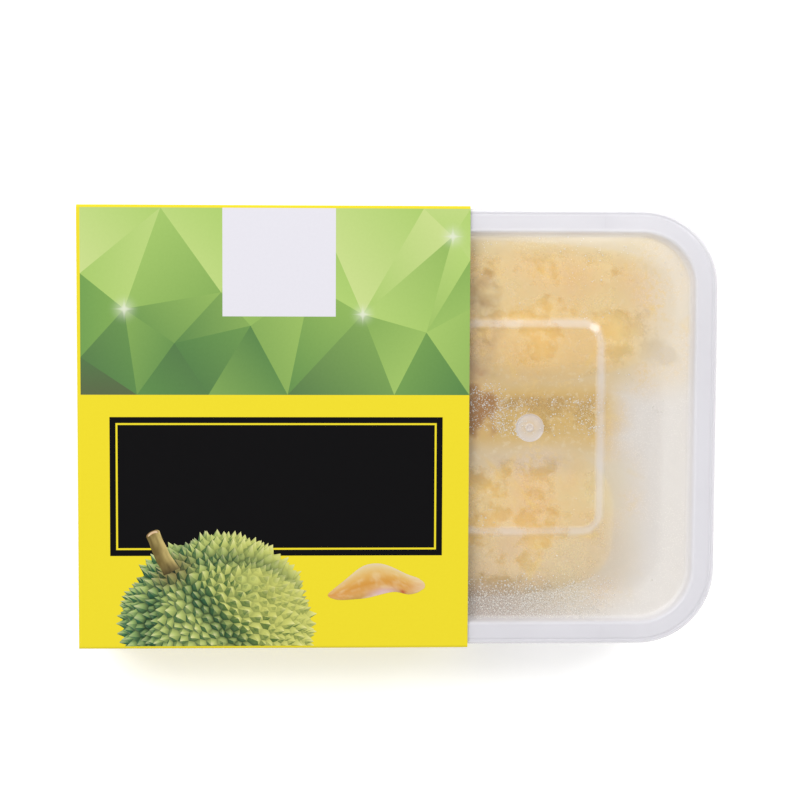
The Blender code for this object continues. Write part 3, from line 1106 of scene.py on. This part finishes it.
def level(profile, share):
    """Height of a profile of (share, height) points at share."""
    for (low, low_height), (high, high_height) in zip(profile, profile[1:]):
        if share <= high:
            return low_height + (high_height - low_height) * (share - low) / (high - low)
    return profile[-1][1]


def eased_level(profile, share):
    """The same, with its corners rounded off."""
    reach = min(0.05, share, 1 - share)
    taps = [level(profile, share + reach * tap) for tap in (-1, -0.5, 0, 0.5, 1)]
    return sum(taps) / len(taps)


def make_pictured_lobe(layout, material):
    """The single lobe of flesh printed beside the fruit: humped, with a blunt right-hand end."""
    left, right = 0.638 * layout.width, 0.889 * layout.width
    low = 0.110 * layout.height
    stations, sides = 60, 36
    rings = []
    for k in range(1, stations):
        share = (1 - cos(pi * k / stations)) / 2
        top, foot = eased_level(LOBE_TOP, share), eased_level(LOBE_FOOT, share)
        half = max((top - foot) / 2, 0.05)
        middle = Vector((left + (right - left) * share, low + (top + foot) / 2))
        ring = []
        for side in range(sides):
            angle = 2 * pi * side / sides
            ring.append(((middle.x, middle.y + half * cos(angle), 8.0 + half * sin(angle)),
                         (share, cos(angle))))
        rings.append(ring)

    def shade(key):
        share, up = key
        body = ramped(((-1.0, swatch(196, 152, 84)), (-0.62, swatch(218, 164, 94)),
                       (-0.15, swatch(214, 152, 68)), (0.40, swatch(226, 180, 100)),
                       (0.80, swatch(229, 202, 142)), (1.0, swatch(228, 208, 176))), up)
        rim = max(0.0, 1 - abs(share - 0.56) / 0.20) * max(0.0, 1 - (up + 1) / 0.55)
        body = blended(body, swatch(218, 184, 184), min(1.0, rim * 1.6))
        body = blended(body, swatch(222, 160, 92), 0.6 * max(0.0, 1 - share / 0.30))
        body = blended(body, swatch(234, 204, 166), 0.8 * max(0.0, (share - 0.80) / 0.20))
        mark = max(0.0, 1 - abs(share - 0.775) / 0.045) * max(0.0, 1 - abs(up + 0.84) / 0.24)
        body = blended(body, swatch(184, 62, 44), mark)
        pale = noise.noise(Vector((share * 9, up * 3.4, 4.2)))
        pale += 0.6 * noise.noise(Vector((share * 26, up * 8.0, 1.7)))
        return blended(body, swatch(236, 214, 170), max(0.0, pale) * 0.55)

    form = lofted(rings, shade)
    pressed(form, layout, (0.0, 0.0), 15.5)
    finished("print_lobe", form, material, "sleeve", sharp=radians(80))


# ---- Tub and lid ----

PANEL_SUNK = 4.6 * MM           # the lid's panel lies this far below its top
PLATFORM_RISE = 1.2 * MM        # the middle of the panel stands up by this
CHANNEL = 0.9 * MM              # thickness of the lid over the tub's rim
SKIRT = 6.4 * MM                # how far the lid reaches down round the tub's rim
CORNER_STEPS = 22               # faces round each corner of a moulding


def in_mm(*pairs):
    """Profile corners given as millimetres of inset and metres of height."""
    return [(inset * MM, height) for inset, height in pairs]


def inset_outline(plastic, inset):
    """The lid's outline drawn in by inset."""
    return rounded_outline(LID_HALF.x - inset, LID_HALF.y - inset,
                           max(plastic.corner - inset, 6.0 * MM), CORNER_STEPS)


def platform_outline(grow):
    """Outline of the raised rectangle in the middle of the lid, grown by grow."""
    return rounded_outline(0.400 * LID_HALF.x + grow, 0.496 * LID_HALF.y + grow,
                           9.0 * MM + grow, CORNER_STEPS)


def rings_of(profile, radius, outline_at, milk_at, steps=4):
    """Rings of a softened profile; outline_at and milk_at take a profile place, in metres."""
    return [(outline_at(place), z, milk_at(place)) for place, z in softened(profile, radius, steps)]


def make_lid(plastic):
    """The lid: skirt and channel over the rim, plug wall, sunk panel, raised middle, gate mark."""
    material = make_plastic("milky_lid", plastic, fogged=True)
    top = LID_HIGH.z
    panel = top - PANEL_SUNK
    under = panel - plastic.wall
    platform = panel + PLATFORM_RISE
    bottom = top - SKIRT
    channel = top - CHANNEL
    edge = in_mm(
        (13.0, under), (10.2, under), (9.5, under + 0.7 * MM), (9.1, channel), (0.85, channel),
        (0.85, bottom + 0.6 * MM), (0.62, bottom), (0.1, bottom), (0.0, bottom + 0.3 * MM),
        (0.0, bottom + 0.9 * MM), (0.35, bottom + 1.3 * MM), (0.22, top - 1.3 * MM),
        (0.75, top - 0.15 * MM), (1.55, top), (1.85, top - 0.30 * MM), (2.35, top - 0.30 * MM),
        (2.70, top - 0.06 * MM), (7.6, top - 0.06 * MM), (8.0, top), (8.6, top),
        (9.4, top - 0.8 * MM), (10.2, panel + 1.0 * MM), (11.2, panel), (14.0, panel))

    def edge_milk(inset):
        return 1 - min(max((inset / MM - 9.2) / 2.2, 0.0), 1.0)

    # The bevel round the raised middle is made milkier, so it shows as a lighter line: a painted
    # highlight.
    def bevel_highlight(grow):
        return 0.55 * max(0.0, 1 - abs(grow / MM + 1.4) / 2.6)

    def gate_milk(radius):
        if radius > 5.7 * MM:
            return 0.0
        return 0.8 if radius > 4.9 * MM or radius < 1.7 * MM else 0.4

    def edge_outline(inset):
        return inset_outline(plastic, inset)

    outlines = [
        (platform_outline(-3.2 * MM), platform - plastic.wall, 0.0),
        (platform_outline(-2.6 * MM), platform - plastic.wall - 0.1 * MM, 0.3),
        (platform_outline(-0.6 * MM), under + 0.1 * MM, 0.3),
        (platform_outline(0.0), under, 0.0),
    ]
    outlines += rings_of(edge, 0.6 * MM, edge_outline, edge_milk)
    outlines += rings_of(in_mm(
        (2.2, panel), (0.8, panel), (0.2, panel + 0.30 * MM), (-0.6, panel + 0.50 * MM),
        (-2.6, platform - 0.10 * MM), (-3.1, platform + 0.12 * MM), (-3.7, platform),
        (-5.0, platform)), 0.3 * MM, platform_outline, bevel_highlight)
    count = len(outlines[0][0])
    outlines += rings_of(in_mm(
        (6.4, platform), (5.9, platform), (5.5, platform + 0.10 * MM), (5.1, platform - 0.30 * MM),
        (1.9, platform - 0.30 * MM), (1.5, platform - 0.02 * MM), (1.05, platform - 0.02 * MM),
        (0.8, platform - 0.25 * MM), (0.3, platform - 0.25 * MM)), 0.2 * MM,
        lambda radius: round_outline(radius, count), gate_milk, steps=3)
    lid = moulding("moulded_lid", outlines, material, "filled_tub")
    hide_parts("lid")
    return lid


def make_ribs():
    """Small moulded ribs that cross the lid's flat band at its near and far edges."""
    form = bmesh.new()
    milk = form.verts.layers.float_color.new("milkiness")
    half_width, rise = 0.28 * MM, 0.16 * MM
    height = LID_HIGH.z - 0.06 * MM
    for side in (-1, 1):
        for place in (-1, 1):
            x = TUB_MIDDLE.x + place * 0.39 * LID_HALF.x
            section = [(-half_width, -rise), (half_width, -rise), (half_width, 0.3 * rise),
                       (0.5 * half_width, rise * 0.36), (-0.5 * half_width, rise * 0.36),
                       (-half_width, 0.3 * rise)]
            rings = [[form.verts.new((x + a, side * (LID_HALF.y - inset), height + z))
                      for a, z in section] for inset in (3.0 * MM, 3.2 * MM, 7.2 * MM, 7.4 * MM)]
            skin_rings(form, rings, capped=True)
    for vert in form.verts:
        vert[milk] = (1.0, 1.0, 1.0, 1.0)
    material = bpy.data.materials["milky_lid"]
    finished("lid_ribs", form, material, "filled_tub")


def make_tub(plastic):
    """The tub: rim with a turned-down lip, drafted walls with a shoulder, and a raised floor."""
    material = make_plastic("milky_tub", plastic, fogged=False)
    base, rim = TUB_LOW.z, TUB_HIGH.z
    wall = plastic.wall / MM
    outside = [(19.0, base + 0.8 * MM), (17.7, base + 0.8 * MM), (17.3, base), (14.6, base),
               (13.2, base + 0.8 * MM), (12.3, base + 3.0 * MM), (8.75, rim - 11.0 * MM),
               (8.15, rim - 10.2 * MM), (7.95, rim - 1.0 * MM)]
    lip = [(1.95, rim - 1.0 * MM), (1.95, rim - 3.8 * MM), (1.15, rim - 3.8 * MM),
           (1.15, rim - 0.5 * MM), (1.6, rim), (8.2, rim), (8.75, rim - 0.6 * MM)]
    inside = [(8.15 + wall, rim - 10.2 * MM), (8.75 + wall, rim - 11.0 * MM),
              (12.3 + wall, base + 3.4 * MM), (14.0, base + 1.4 * MM), (15.2, base + 0.8 * MM),
              (17.7, base + 0.8 * MM), (18.2, base + 1.6 * MM), (20.0, base + 1.6 * MM)]

    def milk(inset):
        edge = 1 - min(max((inset / MM - 7.6) / 1.0, 0.0), 1.0)
        floor = min(max((inset / MM - 12.0) / 3.0, 0.0), 1.0)
        return max(edge * 0.9, floor * 0.85, 0.28)

    outlines = rings_of(in_mm(*(outside + lip + inside)), 0.9 * MM,
                        lambda inset: inset_outline(plastic, inset), milk)
    count = len(outlines[0][0])
    gate = [(0.8, base + 1.0 * MM), (3.8, base + 1.0 * MM), (4.2, base + 0.8 * MM)]
    outlines = [(round_outline(r * MM, count), z, 0.85) for r, z in gate] + outlines
    tub = moulding("moulded_tub", outlines, material, "filled_tub")
    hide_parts("tub")


# ---- Flesh ----

FULLNESS = 3.0                  # 2 gives an ellipsoid, more gives a plumper form
SECTION_FULLNESS = 4.0          # the same across a lobe, which is pressed flat by the lid
LOBE_FORMS = {                  # sideways bow and narrowing of one end
    "durian_lobe_upper": (3.0 * MM, 0.10),
    "durian_lobe_lower": (-3.0 * MM, 0.08),
    "durian_lobe_middle": (0.0, 0.08),
}


def signed_power(value, power):
    return (abs(value) ** power) * (1 if value >= 0 else -1)


def hollow_depth(point, settings, seed):
    """How far the flesh lies in from the lobe's fullest form, and how deep in a crease it is."""
    shifted = point + Vector((seed * 0.71, seed * 0.43, seed * 0.19))
    broad = 0.5 + 0.5 * noise.noise(shifted * 42)
    middling = 0.5 + 0.5 * noise.noise(shifted * 120)
    swirl = Vector((noise.noise(shifted * 60), noise.noise(shifted * 60 + Vector((9, 4, 1))), 0))
    ridge = 1 - min(1.0, abs(noise.noise((shifted + swirl * 0.004) * 52)) * 7)
    fine = noise.turbulence(shifted * 330, 3, False)
    crease = ridge ** 2
    depth = settings.lumps * broad ** 1.6 + 0.35 * MM * middling + settings.creases * crease
    return depth + 0.10 * MM * fine, crease


def lobe_form(bow, narrow, stations, segments):
    """Rings of points of a lobe of half size 1, each ring with the middle of its section."""
    places = [-cos(pi * k / stations) for k in range(1, stations)]
    girths = [(1 - abs(s) ** FULLNESS) ** (1 / FULLNESS) * (1 - narrow * s) for s in places]
    widest = max(girths)
    rings = []
    for place, girth in zip(places, girths):
        sideways = bow * (place ** 2 - 0.5)
        ring = []
        for segment in range(segments):
            angle = 2 * pi * segment / segments
            across = signed_power(cos(angle), 2 / SECTION_FULLNESS)
            upward = signed_power(sin(angle), 2 / SECTION_FULLNESS)
            ring.append(Vector((place, sideways + girth / widest * across,
                                girth / widest * upward)))
        rings.append((Vector((place * 0.86, sideways, 0.0)), ring))
    return rings


def make_lobe(name, settings, seed):
    """One lobe: full in the middle, drawn to blunt tips, with hollows and creases."""
    low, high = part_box(name)
    bow, narrow = LOBE_FORMS[name]
    half = (high - low) / 2
    middle = (high + low) / 2
    segments = 96
    rings = lobe_form(bow / half.y, narrow, 120, segments)
    left = min(point.y for _, ring in rings for point in ring)
    right = max(point.y for _, ring in rings for point in ring)
    squeeze = 2 / (right - left)

    def fitted(point):
        return Vector((middle.x + half.x * point.x,
                       middle.y + half.y * ((point.y - left) * squeeze - 1),
                       middle.z + half.z * point.z))

    form = bmesh.new()
    # The crease attribute darkens the flesh in its creases: painted shade.
    painted_shade = form.verts.layers.float_color.new("crease")
    made = []
    for heart, ring in rings:
        heart = fitted(heart)
        verts = []
        for point in ring:
            full = fitted(point)
            depth, crease = hollow_depth(full, settings, seed)
            inward = heart - full
            vert = form.verts.new(full + inward.normalized() * min(depth, inward.length * 0.3))
            vert[painted_shade] = (crease, crease, crease, 1.0)
            verts.append(vert)
        made.append(verts)
    skin_rings(form, made)
    for ring in (made[0], made[-1]):
        tip = form.verts.new(sum((vert.co for vert in ring), Vector()) / len(ring))
        for k in range(segments):
            form.faces.new((ring[k], ring[(k + 1) % segments], tip))
    material = make_flesh(name + "_flesh", settings, seed)
    lobe = finished("flesh_" + name.rsplit("_", 1)[1], form, material, "filled_tub",
                    sharp=pi)
    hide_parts(name)
    return lobe


# ---- Dew and ice ----

THICKEST = 3.0                  # most that a patch multiplies the density by
THINNING_SEED = 5
UPWARD = 0.35                   # least upward part of a face's normal that takes a bead


def scattered_beads(name, squash, patches, material):
    """A tree that sows beads on the upward faces of its host, as thickly as patches says."""
    tree = Growth(name)
    density = tree.input("Density")
    radius = tree.input("Radius")
    low, high = tree.input("Lowest"), tree.input("Highest")
    seed = tree.input("Seed", "Int")
    normal = tree.part(tree.node("GeometryNodeInputNormal"), "Z")
    spot = tree.node("GeometryNodeInputPosition")
    x, y, z = (tree.part(spot, axis) for axis in "XYZ")
    sown = normal.over(UPWARD) * (z.over(low) * z.below(high))
    cloud = tree.node("ShaderNodeTexNoise", None, {"Vector": spot, "Scale": 46.0, "Detail": 3.0})
    share = patches(cloud, x, y)
    points = tree.node("GeometryNodeDistributePointsOnFaces", None, {
        "Mesh": tree.host(), "Selection": sown, "Density": density * THICKEST,
        "Seed": seed})
    lot = tree.draw(0.0, THICKEST, THINNING_SEED)
    points = tree.node("GeometryNodeDeleteGeometry", {"domain": "POINT"}, {
        "Geometry": points, "Selection": lot.over(share)})
    size = radius * (tree.draw(0.0, 1.0, seed) ** 4.0 * 0.62 + 0.38)
    bead = tree.node("GeometryNodeMeshIcoSphere", None, {"Subdivisions": 1, "Radius": 1.0})
    scale = tree.node("ShaderNodeCombineXYZ", None, {"X": size, "Y": size, "Z": size * squash})
    beads = tree.node("GeometryNodeInstanceOnPoints", None, {
        "Points": points, "Instance": bead, "Scale": scale,
        "Rotation": tree.draw((0, 0, 0), (0, 0, 6.28), seed)})
    tree.end(beads, material)
    return tree


def dew_patches(cloud, x, y):
    """Dew gathers in clouds, thickest over the hollow between the lobes and at the near edge."""
    belt = zone(x, y, "dew belt") * cloud.ease(0.40, 0.55)
    corner = zone(x, y, "dew corner") * cloud.ease(0.45, 0.6)
    gathered = belt * 1.3 + zone(x, y, "dew gap") * 1.5 + zone(x, y, "dew near edge") * 2.8
    return gathered + corner * 0.2 + cloud.ease(0.54, 0.7) * 0.10


def frost_patches(cloud, x, y):
    """Ice lies in drifts, thickest in the hollow between the lobes and at the near end."""
    drifts = zone(x, y, "frost gap") * 2.2 + zone(x, y, "frost near edge") * 0.8
    return cloud.ease(0.54, 0.70) * 0.12 + drifts


def make_dew(lid, dew):
    """Drops standing on the lid's sunk panel and on its raised middle."""
    material = make_ice("dew_drop", 0.46, 0.08)
    tree = scattered_beads("dew", 0.5, dew_patches, material)
    panel = LID_HIGH.z - PANEL_SUNK
    mesh = tree.grown(lid.data, Density=dew.drops, Radius=dew.drop_size, Lowest=panel - 0.1 * MM,
                      Highest=panel + PLATFORM_RISE + 0.1 * MM, Seed=dew.seed)
    placed("lid_dew", mesh, material, "filled_tub", sharp=pi)


def make_frost(lobes, dew):
    """Ice grains on the upper sides of the lobes."""
    material = make_ice("ice_grain", 0.50, 0.25)
    form = bmesh.new()
    for lobe in lobes:
        form.from_mesh(lobe.data)
    host = bpy.data.meshes.new("frost_host")
    form.to_mesh(host)
    form.free()
    tree = scattered_beads("frost", 0.7, frost_patches, material)
    mesh = tree.grown(host, Density=dew.grains, Radius=dew.grain_size, Lowest=0.0, Highest=1.0,
                      Seed=dew.seed + 1)
    placed("flesh_frost", mesh, material, "filled_tub", sharp=radians(20))


# ---- Stage ----

FLOOR_GAP = 0.15 * MM           # keeps the floor clear of the card's underside


def make_stage(stage):
    """A pale floor, an even white surround, two large soft lamps and the camera."""
    scene = bpy.context.scene
    floor_finish = Finish("pale_floor", Roughness=0.9, Specular_IOR_Level=0.1,
                          Emission_Color=(1.0, 1.0, 1.0, 1.0), Emission_Strength=stage.table)
    tint = floor_finish.grain(3.0, 2.0)
    floor_finish.feed("Base Color", floor_finish.mix(tint, (0.94, 0.94, 0.94),
                                                     (0.92, 0.92, 0.925)))
    form = bmesh.new()
    bmesh.ops.create_grid(form, x_segments=4, y_segments=4, size=stage.floor_size / 2)
    mesh = bpy.data.meshes.new("floor")
    form.to_mesh(mesh)
    form.free()
    mesh.materials.append(floor_finish.material)
    floor = bpy.data.objects.new("floor", mesh)
    scene.collection.objects.link(floor)
    floor.location.z = CAD_BOX[0].z - FLOOR_GAP

    world = bpy.data.worlds.new("surround")
    world.use_nodes = True
    background = world.node_tree.nodes["Background"]
    background.inputs["Color"].default_value = (1.0, 1.0, 1.0, 1.0)
    background.inputs["Strength"].default_value = stage.sky
    scene.world = world

    for name, power, size, location in (("key_lamp", stage.key, 1.2, (-0.9, 0.9, 1.5)),
                                        ("fill_lamp", stage.fill, 0.5, (0.90, 0.65, 1.41))):
        lamp_data = bpy.data.lights.new(name, "AREA")
        lamp_data.shape = "DISK"
        lamp_data.size = size
        lamp_data.energy = power
        lamp = bpy.data.objects.new(name, lamp_data)
        lamp.location = location
        lamp.rotation_euler = (-lamp.location).to_track_quat("-Z", "Y").to_euler()
        scene.collection.objects.link(lamp)

    camera_data = bpy.data.cameras.new("front_camera")
    camera_data.lens = stage.lens
    camera_data.sensor_width = 36.0
    camera = bpy.data.objects.new("front_camera", camera_data)
    camera.location = stage.eye
    camera.rotation_euler = stage.turn
    scene.collection.objects.link(camera)
    scene.camera = camera
    scene.view_settings.view_transform = "Standard"
    scene.view_settings.look = "None"


# ---- Operators, panel and registration ----

class DURIANTUB_OT_stage(bpy.types.Operator):
    """Set up the floor, the light and the camera"""
    bl_idname = "durian_tub.stage"
    bl_label = "Stage"

    def execute(self, context):
        make_stage(context.scene.tub_stage)
        return {"FINISHED"}


class DURIANTUB_OT_board(bpy.types.Operator):
    """Make the folded and glued card of the sleeve"""
    bl_idname = "durian_tub.board"
    bl_label = "Card board"

    def execute(self, context):
        make_board(context.scene.tub_sleeve)
        return {"FINISHED"}


class DURIANTUB_OT_print(bpy.types.Operator):
    """Make the printed film over the card"""
    bl_idname = "durian_tub.print"
    bl_label = "Card print"

    def execute(self, context):
        sleeve, colours = context.scene.tub_sleeve, context.scene.tub_print
        layout = CardLayout(sleeve, colours)
        facets = make_facets(layout, colours.facet_seed)
        front = make_ink("printed_front", glint_spots(layout))
        make_front(layout, sleeve, facets, front)
        make_wrap(layout, sleeve, make_ink("printed_wrap"))
        return {"FINISHED"}


class DURIANTUB_OT_pictures(bpy.types.Operator):
    """Make the pictures of the whole fruit, its stalk and one lobe on the card"""
    bl_idname = "durian_tub.pictures"
    bl_label = "Card pictures"

    def execute(self, context):
        colours = context.scene.tub_print
        layout = CardLayout(context.scene.tub_sleeve, colours)
        ink = make_ink("printed_picture")
        make_pictured_fruit(layout, colours, ink)
        make_pictured_stalk(layout, ink)
        make_pictured_lobe(layout, ink)
        return {"FINISHED"}


class DURIANTUB_OT_tub(bpy.types.Operator):
    """Make the moulded tub"""
    bl_idname = "durian_tub.tub"
    bl_label = "Tub"

    def execute(self, context):
        make_tub(context.scene.tub_plastic)
        return {"FINISHED"}


class DURIANTUB_OT_lid(bpy.types.Operator):
    """Make the moulded lid with its ribs and dew"""
    bl_idname = "durian_tub.lid"
    bl_label = "Lid and dew"

    def execute(self, context):
        lid = make_lid(context.scene.tub_plastic)
        make_ribs()
        make_dew(lid, context.scene.tub_dew)
        return {"FINISHED"}


class DURIANTUB_OT_flesh(bpy.types.Operator):
    """Make the lobes of flesh and the ice on them"""
    bl_idname = "durian_tub.flesh"
    bl_label = "Flesh and frost"

    def execute(self, context):
        lobes = [make_lobe(name, context.scene.tub_flesh, seed)
                 for seed, name in enumerate(LOBES, 1)]
        make_frost(lobes, context.scene.tub_dew)
        return {"FINISHED"}


OPERATORS = (DURIANTUB_OT_stage, DURIANTUB_OT_board, DURIANTUB_OT_print, DURIANTUB_OT_pictures,
             DURIANTUB_OT_tub, DURIANTUB_OT_lid, DURIANTUB_OT_flesh)
SETTINGS = {"tub_stage": StageSettings, "tub_sleeve": SleeveSettings, "tub_print": PrintSettings,
            "tub_plastic": PlasticSettings, "tub_flesh": FleshSettings, "tub_dew": DewSettings}


class DURIANTUB_PT_panel(bpy.types.Panel):
    """Lists the tub's operators"""
    bl_idname = "DURIANTUB_PT_panel"
    bl_label = "Durian tub"
    bl_space_type = "VIEW_3D"
    bl_region_type = "UI"
    bl_category = "Durian tub"

    def draw(self, context):
        for operator in OPERATORS:
            self.layout.operator(operator.bl_idname)


def register():
    for group in SETTINGS.values():
        bpy.utils.register_class(group)
    for operator in OPERATORS:
        bpy.utils.register_class(operator)
    bpy.utils.register_class(DURIANTUB_PT_panel)
    for name, group in SETTINGS.items():
        setattr(bpy.types.Scene, name, PointerProperty(type=group))


def unregister():
    for name in SETTINGS:
        delattr(bpy.types.Scene, name)
    bpy.utils.unregister_class(DURIANTUB_PT_panel)
    for operator in reversed(OPERATORS):
        bpy.utils.unregister_class(operator)
    for group in reversed(SETTINGS.values()):
        bpy.utils.unregister_class(group)


def main():
    register()
    bpy.ops.durian_tub.stage()
    bpy.ops.durian_tub.board()
    bpy.ops.durian_tub.print()
    bpy.ops.durian_tub.pictures()
    bpy.ops.durian_tub.tub()
    bpy.ops.durian_tub.lid()
    bpy.ops.durian_tub.flesh()


if __name__ == "__main__":
    main()
